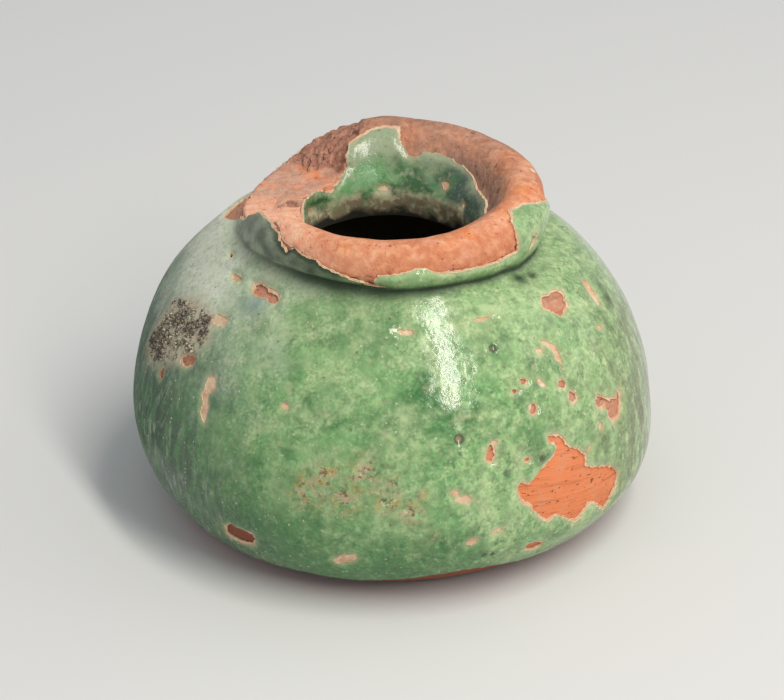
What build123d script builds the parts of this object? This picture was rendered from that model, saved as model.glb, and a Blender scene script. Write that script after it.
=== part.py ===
from build123d import *
from collections import namedtuple
from math import acos, atan2, cos, degrees, radians, sin
import os

# A small squat jar of thrown red clay with a thick rolled rim, glazed green over a pale slip.
# Both coats have flaked, and a stretch of the rim is broken away.
# Millimetres, +Z up, origin at the centre of the base.
# Azimuth is counted from +X towards +Y, and slope is the angle of a surface's outward normal.

# Thrown body
belly_radius = 37.4
belly_height = 13.6
haunch_inset = 11.0
wall = 4.8
floor_thickness = 4.5
seat_radius = 19.0
seat_height = 42.2
throat_radius = 12.2
throat_length = 3.9

# Rim coil, luted onto the seat
roll_overhang = 2.5
roll_radius = 3.7
roll_rise = 3.4
coil_overhang = 0.5
lip_rise = 0.3

# Broken stretch of the rim
scar_azimuth = 165
scar_lip_rise = 3.1
scar_fall_angle = 23
scar_floor_length = 14
scar_steep_run = 7
scar_gentle_run = 6

# Coats
slip_thickness = 0.2
glaze_thickness = 0.4
slip_margin = 0.3
glaze_foot = 3.4
groove_cover = 0.8
lining_rise = 3.9
lining_tilt = 7

# Soil crust left by burial
crust_thickness = 0.5
crust_azimuth = -157
crust_slope_angle = 35
crust_outline = [(-4.8, -5.3), (-4.2, 2.6), (0.4, 5.0), (5.6, 4.9), (7.6, 2.4), (5.8, -1.2), (1.2, -4.9)]

# Upper edge of the glaze on the front of the rim, as (distance to the right, rise above the seat)
rim_glaze_edge = [
    (-19.4, 5.6), (-16.0, 5.3), (-14.6, 3.5), (-10.3, 3.7), (-6.3, 2.3), (-2.9, 0.8), (-1.8, 2.8),
    (4.3, 3.8), (5.6, 3.0), (17.3, 2.1), (16.6, 6.2), (18.6, 6.4), (21.6, 3.9),
]

# Flaked places: width runs round the jar, length runs up it, tilt turns them from the right upwards
Flake = namedtuple("Flake", "azimuth slope width length tilt")
clay_flakes = [
    Flake(-33, 48, 5.8, 3.8, -3),
    Flake(-32, 18, 6.0, 2.6, -20),
    Flake(-44, 26, 1.5, 1.9, 20),
    Flake(-45, 30, 1.4, 1.4, 0),
    Flake(-56, 27, 1.4, 1.4, 0),
    Flake(-68, 19, 1.6, 2.6, -10),
    Flake(-57, -26, 3.4, 2.2, -15),
    Flake(-126, -21, 5.6, 3.6, 8),
    Flake(-135, 55, 3.3, 2.2, 8),
    Flake(-148, 31, 3.4, 1.9, 18),
    Flake(-156, 23, 1.3, 1.9, 0),
]
slip_flakes = [
    Flake(-15, 43, 3.9, 1.2, 72),
    Flake(-44, 38, 4.7, 1.1, 100),
    Flake(-86, 52, 2.1, 1.2, 0),
    Flake(-76, 9, 3.6, 1.3, -35),
    Flake(-73, -8, 1.8, 1.6, 0),
    Flake(-100, -20, 3.6, 2.1, 5),
    Flake(-138, 25, 6.4, 1.4, 99),
    Flake(-145, 44, 2.8, 1.8, 15),
    Flake(-151, 55, 2.4, 1.2, 10),
]

# The largest flake, low on the right of the front
large_flake_azimuth = -49
large_flake_slope_angle = 6
large_flake_outline = [
    (-3.9, 8.4), (-1.2, 7.7), (3.6, 2.8), (4.8, 0.3), (9.4, -2.4), (5.1, -7.2), (3.6, -5.4),
    (0.3, -7.0), (-3.0, -4.7), (-6.0, -3.9), (-10.0, 1.6), (-7.6, 2.4), (-2.0, 5.6),
]

# Room by which cutting shapes pass what they cut
cut_room = 3


Arc = namedtuple("Arc", "centre radius angle")


def leaning_arc(widest_radius, end_radius, rise):
    """Arc of a half section that leaves a widest ring upright and leans in to an end ring."""
    inset = widest_radius - end_radius
    radius = (inset**2 + rise**2) / (2 * inset)
    centre = widest_radius - radius
    return Arc(centre, radius, degrees(atan2(rise, end_radius - centre)))


base_radius = belly_radius - haunch_inset
haunch = leaning_arc(belly_radius, base_radius, belly_height)
shoulder = leaning_arc(belly_radius, seat_radius, seat_height - belly_height)

cavity_radius = belly_radius - wall
bowl_radius = belly_height - floor_thickness
vault = leaning_arc(cavity_radius, throat_radius, seat_height - throat_length - belly_height)

rim_radius = seat_radius + roll_overhang
roll_height = seat_height + roll_rise
crest_radius = rim_radius - roll_radius
crest_height = roll_height + roll_radius
lip_height = seat_height + lip_rise
coil_underside = leaning_arc(rim_radius, seat_radius + coil_overhang, roll_rise)

coat_thickness = slip_thickness + glaze_thickness


def body_outside(grow):
    """Edges of the body's outer half section from foot to seat, grown outwards."""
    low = CenterArc((haunch.centre, belly_height), haunch.radius + grow, -haunch.angle, haunch.angle)
    high = CenterArc((shoulder.centre, belly_height), shoulder.radius + grow, 0, shoulder.angle)
    return [low, high]


def coil_outside(grow):
    """Edges of the rim coil's outer half section from seat to crest, grown outwards."""
    turn = coil_underside.angle
    under = CenterArc((coil_underside.centre, roll_height), coil_underside.radius + grow, -turn, turn)
    roll = CenterArc((crest_radius, roll_height), roll_radius + grow, 0, 90)
    return [under, roll]


def lip(coat):
    """Edge from the throat up to the crest over the inside of the rim, grown into the mouth."""
    return EllipticalCenterArc(
        (crest_radius, lip_height),
        crest_radius - throat_radius + coat,
        crest_height - lip_height + coat,
        start_angle=180,
        arc_size=-90,
    )


def hollow(coat):
    """Edges of the inside from the floor's centre up to the crest, grown into the hollow."""
    bowl = CenterArc((cavity_radius - bowl_radius, belly_height), bowl_radius - coat, -90, 90)
    turn = acos((throat_radius - coat - vault.centre) / (vault.radius - coat))
    ceiling = CenterArc((vault.centre, belly_height), vault.radius - coat, 0, degrees(turn))
    floor = Line((0, floor_thickness + coat), bowl @ 0)
    throat = Line(ceiling @ 1, (throat_radius - coat, lip_height))
    return [floor, bowl, ceiling, throat, lip(coat)]


def filled(edges):
    """Half section between the axis and edges that run up from their foot."""
    foot, head = edges[0] @ 0, edges[-1] @ 1
    axis = [Line(head, (0, head.Y)), Line((0, head.Y), (0, foot.Y))]
    if foot.X > 0:
        axis.append(Line((0, foot.Y), foot))
    return make_face(edges + axis)


def turned(section):
    """Solid of revolution of a half section drawn as radius across and height up."""
    return revolve(Plane.XZ * section, Axis.Z)


def spot(azimuth, slope):
    """Plane on the glazed outside that faces out, with x to the right round the jar and y up it."""
    arc = shoulder if slope > 0 else haunch
    outwards = Vector(1, 0, 0).rotate(Axis.Z, azimuth)
    normal = outwards * cos(radians(slope)) + Vector(0, 0, sin(radians(slope)))
    origin = outwards * arc.centre + Vector(0, 0, belly_height) + normal * (arc.radius + coat_thickness)
    return Plane(origin, x_dir=Vector(0, 1, 0).rotate(Axis.Z, azimuth), z_dir=normal)


def flake_cut(flake, margin=0):
    """Prism through the coats at a flaked place, smaller all round by a margin."""
    outline = Rot(0, 0, flake.tilt) * Ellipse(flake.width / 2 - margin, flake.length / 2 - margin)
    return extrude(spot(flake.azimuth, flake.slope) * outline, cut_room, both=True)


def large_flake_cut(margin=0):
    """Prism through the coats at the largest flake."""
    outline = Polygon(*large_flake_outline, align=None)
    if margin:
        outline = offset(outline, -margin)
    return extrude(spot(large_flake_azimuth, large_flake_slope_angle) * outline, cut_room, both=True)


def bare_rim_cut(margin=0):
    """Everything above the glaze's ragged edge on the front of the rim and above the groove elsewhere."""
    side = rim_radius + cut_room
    top = crest_height + cut_room
    groove = seat_height + groove_cover + margin
    edge = [(across, seat_height + rise + margin) for across, rise in rim_glaze_edge]
    left_end = (-side, edge[0][1])
    right_end = (side, edge[-1][1])
    corners = [(side, top), (-side, top)]
    front = Polygon(left_end, *edge, right_end, *corners, align=None)
    back = Polygon((-side, groove), (side, groove), *corners, align=None)
    return [extrude(Plane.XZ * front, side), extrude(Plane.XZ * back, -side)]


def scar_cut():
    """The broken stretch of the rim: it falls outwards, between a steep rough end and a long worn end."""
    half_floor = scar_floor_length / 2
    top = crest_height + coat_thickness
    reach = rim_radius + cut_room
    stretch_outline = Polygon(
        (-half_floor - scar_steep_run, top),
        (-half_floor, seat_height),
        (half_floor, seat_height),
        (half_floor + scar_gentle_run, top),
        align=None,
    )
    outwards = Vector(1, 0, 0).rotate(Axis.Z, scar_azimuth)
    across = Vector(0, 1, 0).rotate(Axis.Z, scar_azimuth)
    stretch = extrude(Plane((0, 0, 0), x_dir=across, z_dir=outwards) * stretch_outline, reach)
    lip_end = outwards * throat_radius + Vector(0, 0, seat_height + scar_lip_rise)
    upwards = Vector(0, 0, 1).rotate(Axis((0, 0, 0), across), scar_fall_angle)
    face = Plane(lip_end, x_dir=across, z_dir=upwards) * Rectangle(4 * reach, 4 * reach)
    return stretch & extrude(face, 4 * reach)


def make_body():
    """Thrown clay: floor, wall, shoulder and the seat for the rim coil."""
    outside = body_outside(0)
    inside = hollow(0)[:3]
    foot = Line((0, 0), outside[0] @ 0)
    seat = Line(outside[1] @ 1, (throat_radius, seat_height))
    bore = Line((throat_radius, seat_height), inside[2] @ 1)
    axis = Line((0, 0), inside[0] @ 0)
    return turned(make_face([foot, *outside, seat, bore, *inside, axis]))


def make_coil():
    """Rim coil on the seat, with its broken stretch cut away."""
    outside = coil_outside(0)
    inside = lip(0)
    seat = Line((throat_radius, seat_height), outside[0] @ 0)
    bore = Line((throat_radius, seat_height), (throat_radius, lip_height))
    return turned(make_face([seat, *outside, inside, bore])) - scar_cut()


def outer_coat(inner, outer, foot, margin):
    """Coat over the shoulder, belly and rim between two growths, bare at the foot, rim and deep flakes."""
    def grown(grow):
        return filled(body_outside(grow)) + filled(coil_outside(grow))

    mouth = Pos(0, seat_height) * Rectangle(2 * crest_radius, 2 * (crest_height - seat_height + cut_room))
    below = Rectangle(2 * belly_radius, 2 * foot)
    coat = turned(grown(outer) - grown(inner) - mouth - below)
    flakes = [flake_cut(flake, margin) for flake in clay_flakes]
    return coat - flakes - large_flake_cut(margin) - bare_rim_cut(margin) - scar_cut()


def make_outer_slip():
    """Pale slip next to the clay, which shows as a thin line round each deep flake."""
    return outer_coat(0, slip_thickness, glaze_foot - slip_margin, slip_margin)


def make_outer_glaze():
    """Green glaze over the slip, flaked down to the slip in places."""
    glaze = outer_coat(slip_thickness, coat_thickness, glaze_foot, 0)
    return glaze - [flake_cut(flake) for flake in slip_flakes]


def lining(inner, outer, margin):
    """Coat over the whole inside between two growths, ending at a leaning edge inside the rim."""
    coat = turned(filled(hollow(inner)) - filled(hollow(outer)))
    edge = Plane((0, 0, seat_height + lining_rise + margin)).rotated((lining_tilt, 0, 0))
    above = extrude(edge * Rectangle(4 * rim_radius, 4 * rim_radius), 4 * rim_radius)
    return coat - above - scar_cut()


def make_crust():
    """Patch of dark soil that burial left on the shoulder."""
    glazed = turned(filled(body_outside(coat_thickness)))
    crusted = turned(filled(body_outside(coat_thickness + crust_thickness)))
    patch = spot(crust_azimuth, crust_slope_angle) * Polygon(*crust_outline, align=None)
    return (crusted - glazed) & extrude(patch, cut_room, both=True)


nodes = {
    "thrown_body": make_body(),
    "rim_coil": make_coil(),
    "outer_slip": make_outer_slip(),
    "outer_glaze": make_outer_glaze(),
    "inner_slip": lining(0, slip_thickness, slip_margin),
    "inner_glaze": lining(slip_thickness, coat_thickness, 0),
    "soil_crust": make_crust(),
}

os.makedirs("parts", exist_ok=True)
for name, solid in nodes.items():
    export_step(solid, f"parts/{name}.step")
    print(name, len(solid.solids()), "solids", round(solid.volume, 1), "mm3")
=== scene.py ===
import bpy
import bmesh
import math
import random
from mathutils import Matrix, Vector, noise


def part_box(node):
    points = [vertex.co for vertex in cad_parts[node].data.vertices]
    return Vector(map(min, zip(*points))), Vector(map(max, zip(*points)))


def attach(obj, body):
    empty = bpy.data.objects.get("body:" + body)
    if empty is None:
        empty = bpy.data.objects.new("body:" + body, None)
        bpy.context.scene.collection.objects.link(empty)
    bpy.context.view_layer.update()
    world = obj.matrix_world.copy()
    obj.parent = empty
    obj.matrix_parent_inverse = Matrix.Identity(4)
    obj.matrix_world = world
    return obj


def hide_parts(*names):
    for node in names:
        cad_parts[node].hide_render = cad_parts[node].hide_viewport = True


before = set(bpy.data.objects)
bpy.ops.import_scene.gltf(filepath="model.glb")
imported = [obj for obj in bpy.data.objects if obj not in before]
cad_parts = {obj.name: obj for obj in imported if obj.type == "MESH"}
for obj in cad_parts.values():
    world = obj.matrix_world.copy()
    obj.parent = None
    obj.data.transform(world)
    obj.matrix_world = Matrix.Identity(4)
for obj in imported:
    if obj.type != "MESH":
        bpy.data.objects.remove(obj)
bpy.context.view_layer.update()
mm = 0.001  # shapes are worked out in millimetres and scaled to metres at the end
solids = {name: [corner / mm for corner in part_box(name)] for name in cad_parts}

# Radii and heights of the jar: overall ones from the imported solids, the rest as they were drawn
jar = {
    "belly": solids["thrown_body"][1].x,
    "bellyHeight": 13.6,
    "base": 26.4,
    "seat": 19.0,
    "seatHeight": solids["thrown_body"][1].z,
    "throat": 12.2,
    "throatLow": 38.3,
    "cavity": solids["inner_slip"][1].x,
    "floor": solids["inner_slip"][0].z,
    "rim": solids["rim_coil"][1].y,
    "crestHeight": solids["rim_coil"][1].z,
    "roll": 3.7,
    "coilFoot": 19.5,
    "lipHeight": 42.5,
    "slip": 0.2,
    "coat": 0.6,
    "crestCoat": 0.2,  # the coats thin out towards the top of the rim
    "outsideThins": 0.3,  # how far up the roll, and up the lip, that begins
    "insideThins": 0.6,
    "rollFrom": -75,  # degrees round the roll where the outside starts in the groove and ends past the crest
    "outsideTo": 97,
    "insideTo": 83,  # where the inside ends, past the crest the other way
    "grooveHeight": 42.1,  # above this the outside belongs to the rim coil
    "grooveTurn": -52,  # degrees round the roll where the groove lies, and degrees up the shoulder
    "grooveRise": 62.9,
}
bellyHeight = jar["bellyHeight"]
crestRadius = jar["rim"] - jar["roll"]
rollHeight = jar["crestHeight"] - jar["roll"]
lipHeight = jar["lipHeight"]
lipDepth = crestRadius - jar["throat"]
lipRise = jar["crestHeight"] - lipHeight
crestThin = jar["crestCoat"] / jar["coat"]
rollStep = 0.75  # the roll and the lip are drawn in shorter steps than the belly
lipStep = 0.5
filletSteps = 6


def leaningArc(widest, end, rise):  # upright at its widest ring, leaning in to its end
    inset = widest - end
    radius = (inset**2 + rise**2) / (2 * inset)
    return widest - radius, radius, math.atan2(rise, end - widest + radius)


haunchCentre, haunchRadius, haunchTurn = leaningArc(jar["belly"], jar["base"], bellyHeight)
shoulderCentre, shoulderRadius, shoulderTurn = leaningArc(
    jar["belly"], jar["seat"], jar["seatHeight"] - bellyHeight
)
vaultCentre, vaultRadius, _ = leaningArc(
    jar["cavity"], jar["throat"], jar["throatLow"] - bellyHeight
)
bowlRadius = bellyHeight - jar["floor"]


def smoothStep(low, high, value):
    share = min(1.0, max(0.0, (value - low) / (high - low)))
    return share * share * (3 - 2 * share)


def wrapped(degrees):  # into the half turn either way
    return (degrees + 180) % 360 - 180


def azimuthOf(point):
    return math.degrees(math.atan2(point.y, point.x))


def grainNoise(point, size, shift=0.0):  # about -1 to 1, with lumps of that many millimetres
    return noise.noise(point / size + Vector((shift, 2 * shift, 3 * shift)))


def arcPoints(centre, height, radius, start, end, step):
    count = max(2, math.ceil(abs(end - start) * radius / step))
    angles = [start + (end - start) * i / count for i in range(count + 1)]
    return [(centre + radius * math.cos(a), height + radius * math.sin(a)) for a in angles]


def thinned(grow, up, start):  # how thick a coat is that far up towards the crest
    return grow * (1 - (1 - crestThin) * smoothStep(start, 1.0, up))


def rollPoints(grow, start, end, step):  # outside of the rim coil
    points = []
    for across, up in arcPoints(0, 0, 1, start, end, step / jar["roll"]):
        radius = jar["roll"] + thinned(grow, up, jar["outsideThins"])
        points.append((crestRadius + radius * across, rollHeight + radius * up))
    return points


def outsideSection(grow, step, lowest, pool):
    start = -math.asin((bellyHeight - lowest) / (haunchRadius + grow))
    low = arcPoints(haunchCentre, bellyHeight, haunchRadius + grow, start, 0, step)
    high = arcPoints(shoulderCentre, bellyHeight, shoulderRadius + grow, 0, shoulderTurn, step)
    rollStart, rollEnd = math.radians(jar["rollFrom"]), math.radians(jar["outsideTo"])
    roll = rollPoints(grow, rollStart, rollEnd, step * rollStep)
    coilGap = jar["roll"] + grow + pool
    bodyGap = shoulderRadius + grow + pool
    body = [p for p in low + high[1:] if math.hypot(p[0] - crestRadius, p[1] - rollHeight) > coilGap]
    coil = [p for p in roll if math.hypot(p[0] - shoulderCentre, p[1] - bellyHeight) > bodyGap]
    return body + hollow(body[-1], grooveCorner(grow), coil[0], filletSteps) + coil


def grooveCorner(grow):  # where the shoulder and the rim coil meet
    bodyReach, coilReach = shoulderRadius + grow, jar["roll"] + grow
    across, up = crestRadius - shoulderCentre, rollHeight - bellyHeight
    apart = math.hypot(across, up)
    inside = math.acos((bodyReach**2 + apart**2 - coilReach**2) / (2 * bodyReach * apart))
    turn = math.atan2(up, across) - inside
    return shoulderCentre + bodyReach * math.cos(turn), bellyHeight + bodyReach * math.sin(turn)


def hollow(start, corner, end, count):  # points on a curve drawn towards the corner
    points = []
    for i in range(1, count):
        t = i / count
        weights = ((1 - t) ** 2, 2 * t * (1 - t), t * t)
        points.append(tuple(sum(w * p[k] for w, p in zip(weights, (start, corner, end))) for k in (0, 1)))
    return points


def insideSection(grow, step):  # from the floor's middle up the hollow and over the inside of the rim
    bowlCentre = jar["cavity"] - bowlRadius
    bowl = arcPoints(bowlCentre, bellyHeight, bowlRadius - grow, -math.pi / 2, 0, step)
    turn = math.acos((jar["throat"] - grow - vaultCentre) / (vaultRadius - grow))
    vault = arcPoints(vaultCentre, bellyHeight, vaultRadius - grow, 0, turn, step)
    floorSteps = math.ceil(bowlCentre / (2 * step))
    floor = [(bowlCentre * i / floorSteps, jar["floor"] + grow) for i in range(floorSteps)]
    top = vault[-1][1]
    throatSteps = math.ceil((lipHeight - top) / (lipStep * step))
    throat = [
        (jar["throat"] - grow, top + (lipHeight - top) * i / throatSteps) for i in range(1, throatSteps)
    ]
    return floor + bowl + vault[1:] + throat + lipPoints(grow, lipStep * step)


def lipPoints(grow, step):  # from the throat up to the crest
    points = []
    for across, up in arcPoints(0, 0, 1, math.pi, math.radians(jar["insideTo"]), step / lipDepth):
        coat = thinned(grow, up, jar["insideThins"])
        points.append((crestRadius + (lipDepth + coat) * across, lipHeight + (lipRise + coat) * up))
    return points


def spun(points, steps, closed=False):
    bm = bmesh.new()
    ring = [bm.verts.new((r, 0, z)) for r, z in points]
    edges = [bm.edges.new(pair) for pair in zip(ring, ring[1:])]
    if closed:
        edges.append(bm.edges.new((ring[-1], ring[0])))
    bmesh.ops.spin(
        bm, geom=ring + edges, cent=(0, 0, 0), axis=(0, 0, 1), angle=2 * math.pi, steps=steps, use_merge=True
    )
    bmesh.ops.remove_doubles(bm, verts=bm.verts[:], dist=1e-4)
    bmesh.ops.recalc_face_normals(bm, faces=bm.faces[:])
    return bm


# Hand throwing: a lopsided belly, and a rim that stands higher and further out at the back
thrown = {
    "shrink": 0.2,
    "wobble": 0.25,
    "wobbleSize": 30,
    "swells": [  # azimuth, height, spread round, spread up, how far out
        (172, 34, 42, 8, 1.1),
        (-8, 7, 40, 5, 0.9),
        (-150, 9, 40, 6, -0.5),
        (60, 30, 60, 12, -0.4),
        (158, 41.5, 28, 2.8, 1.5),
        (-152, 42.0, 24, 1.9, 1.5),
    ],
    "rimRise": [  # azimuth and how far the crest is lifted
        (-165, -1.6), (-150, -1.6), (-130, -1.3), (-110, -1.1), (-90, -1.0), (-60, -0.8), (-30, -0.4),
        (0, -0.15), (30, -0.1), (70, 0), (92, 0.2), (106, 0), (135, -0.2), (160, -0.3), (180, -0.8),
    ],
    "rimPush": [
        (-178, -0.6), (-165, -1.1), (-150, -0.9), (-135, -0.4), (-120, 0), (-40, 0), (0, 0.5), (30, 1.2),
        (60, 1.9), (78, 2.2), (92, 2.7), (104, 2.0), (112, 1.8), (140, 0.9), (160, 0),
    ],
    "mouthPush": [
        (-120, 0), (-70, 0), (-35, 0.6), (0, 1.6), (30, 1.8), (60, 2.0), (90, 2.0), (110, 1.8), (140, 0.9),
        (160, 0),
    ],
    "grooveDrop": [
        (-178, 0), (-160, -0.4), (-140, -0.9), (-120, -0.9), (-108, -0.6), (-92, 0), (-65, 0), (-45, 0.6),
        (-30, 1.5), (-12, 1.9), (5, 1.6), (25, 0.9), (60, 0),
    ],
    "rimWear": 0.1,
    "topBand": 0.35,
    "rimDents": 0.25,
    "rimDentSize": 9,
    "footSpan": (0, 5),  # heights over which the swells set in above the base
    "neckFrom": 35,  # the rest changes nothing below this height
    "outerSpan": (14, 18),  # radii over which the mouth's push gives way to the rim's
    "pushSpan": (40.5, 45.5),  # heights over which each of these sets in
    "riseSpan": (42, 47),
    "dentSpan": (42, 46),
    "wearFrom": 45,
    "groove": (42, 2.2),  # height and spread of what drops with the groove
    "grooveSpan": (17, 19.5),  # radii over which it sets in
}


def aroundAt(points, azimuth, eased=True):  # a value that changes round the jar between named azimuths
    before, after = points[-1], points[0]
    for point in points:
        if point[0] <= azimuth:
            before = point
    for point in reversed(points):
        if point[0] > azimuth:
            after = point
    span = (after[0] - before[0]) % 360
    share = (azimuth - before[0]) % 360 / span
    if eased:
        share = smoothStep(0, 1, share)
    return before[1] + (after[1] - before[1]) * share


def handThrown(point):
    azimuth = azimuthOf(point)
    radius = max(math.hypot(point.x, point.y), 1.0)
    out = thrown["wobble"] * grainNoise(point, thrown["wobbleSize"]) - thrown["shrink"]
    for place, height, spreadRound, spreadUp, amount in thrown["swells"]:
        aside = wrapped(azimuth - place) / spreadRound
        above = (point.z - height) / spreadUp
        out += amount * math.exp(-aside * aside - above * above)
    out *= smoothStep(*thrown["footSpan"], point.z)
    up = 0.0
    if point.z > thrown["neckFrom"]:
        outer = smoothStep(*thrown["outerSpan"], radius)
        rimPush, mouthPush = (aroundAt(thrown[kind], azimuth) for kind in ("rimPush", "mouthPush"))
        out += (outer * rimPush + (1 - outer) * mouthPush) * smoothStep(*thrown["pushSpan"], point.z)
        up = aroundAt(thrown["rimRise"], azimuth) * smoothStep(*thrown["riseSpan"], point.z)
        grooveHeight, grooveSpread = thrown["groove"]
        nearGroove = math.exp(-(((point.z - grooveHeight) / grooveSpread) ** 2))
        nearGroove *= smoothStep(*thrown["grooveSpan"], radius)
        up -= aroundAt(thrown["grooveDrop"], azimuth) * nearGroove
        dent = thrown["rimDents"] * grainNoise(point, thrown["rimDentSize"], 5)
        out += dent * smoothStep(*thrown["dentSpan"], point.z)
        worn = thrown["rimWear"] + max(0.0, dent)
        up -= worn * smoothStep(thrown["wearFrom"], jar["crestHeight"], point.z)
    grown = 1 + out / radius
    height = point.z + up
    flat = jar["crestHeight"] - thrown["topBand"]
    if height > flat:  # no point of the rim stands above the drawn crest
        height = flat + thrown["topBand"] * math.tanh((height - flat) / thrown["topBand"])
    return Vector((point.x * grown, point.y * grown, height))


# Places on the outside are an azimuth and a distance up the section from the belly's widest ring
grooveTurn = math.radians(jar["grooveTurn"])
grooveAlong = (shoulderRadius + jar["coat"]) * math.radians(jar["grooveRise"])


def wallArc(low):  # centre and radius of the haunch, or of the shoulder
    return (haunchCentre, haunchRadius) if low else (shoulderCentre, shoulderRadius)


def pointAt(azimuth, radius, height):
    turn = math.radians(azimuth)
    return Vector((radius * math.cos(turn), radius * math.sin(turn), height))


def alongOf(radius, height):
    centre, reach = wallArc(height < bellyHeight)
    bodyGap = math.hypot(radius - centre, height - bellyHeight) - reach
    coilGap = math.hypot(radius - crestRadius, height - rollHeight) - jar["roll"]
    if coilGap < bodyGap and height > jar["seatHeight"] - 1:
        turn = math.atan2(height - rollHeight, radius - crestRadius)
        return grooveAlong + (jar["roll"] + jar["coat"]) * (turn - grooveTurn)
    return (reach + jar["coat"]) * math.atan2(height - bellyHeight, radius - centre)


def outsideAt(azimuth, along, grow):  # the reverse, below the rim
    centre, reach = wallArc(along < 0)
    turn = along / (reach + jar["coat"])
    outwards = pointAt(azimuth, 1, 0)
    normal = outwards * math.cos(turn) + Vector((0, 0, math.sin(turn)))
    return outwards * centre + Vector((0, 0, bellyHeight)) + normal * (reach + grow)


def alongAtHeight(height):  # on the glazed outside
    if height > jar["grooveHeight"]:
        turn = math.asin(min(1.0, max(-1.0, (height - rollHeight) / jar["roll"])))
        return grooveAlong + (jar["roll"] + jar["coat"]) * max(0.0, turn - grooveTurn)
    reach = wallArc(height < bellyHeight)[1] + jar["coat"]
    return reach * math.asin((height - bellyHeight) / reach)


def radiusAtHeight(height):
    if height > jar["grooveHeight"]:
        return jar["rim"]
    centre, reach = wallArc(height < bellyHeight)
    return centre + math.sqrt(max(1.0, (reach + jar["coat"]) ** 2 - (height - bellyHeight) ** 2))


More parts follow.
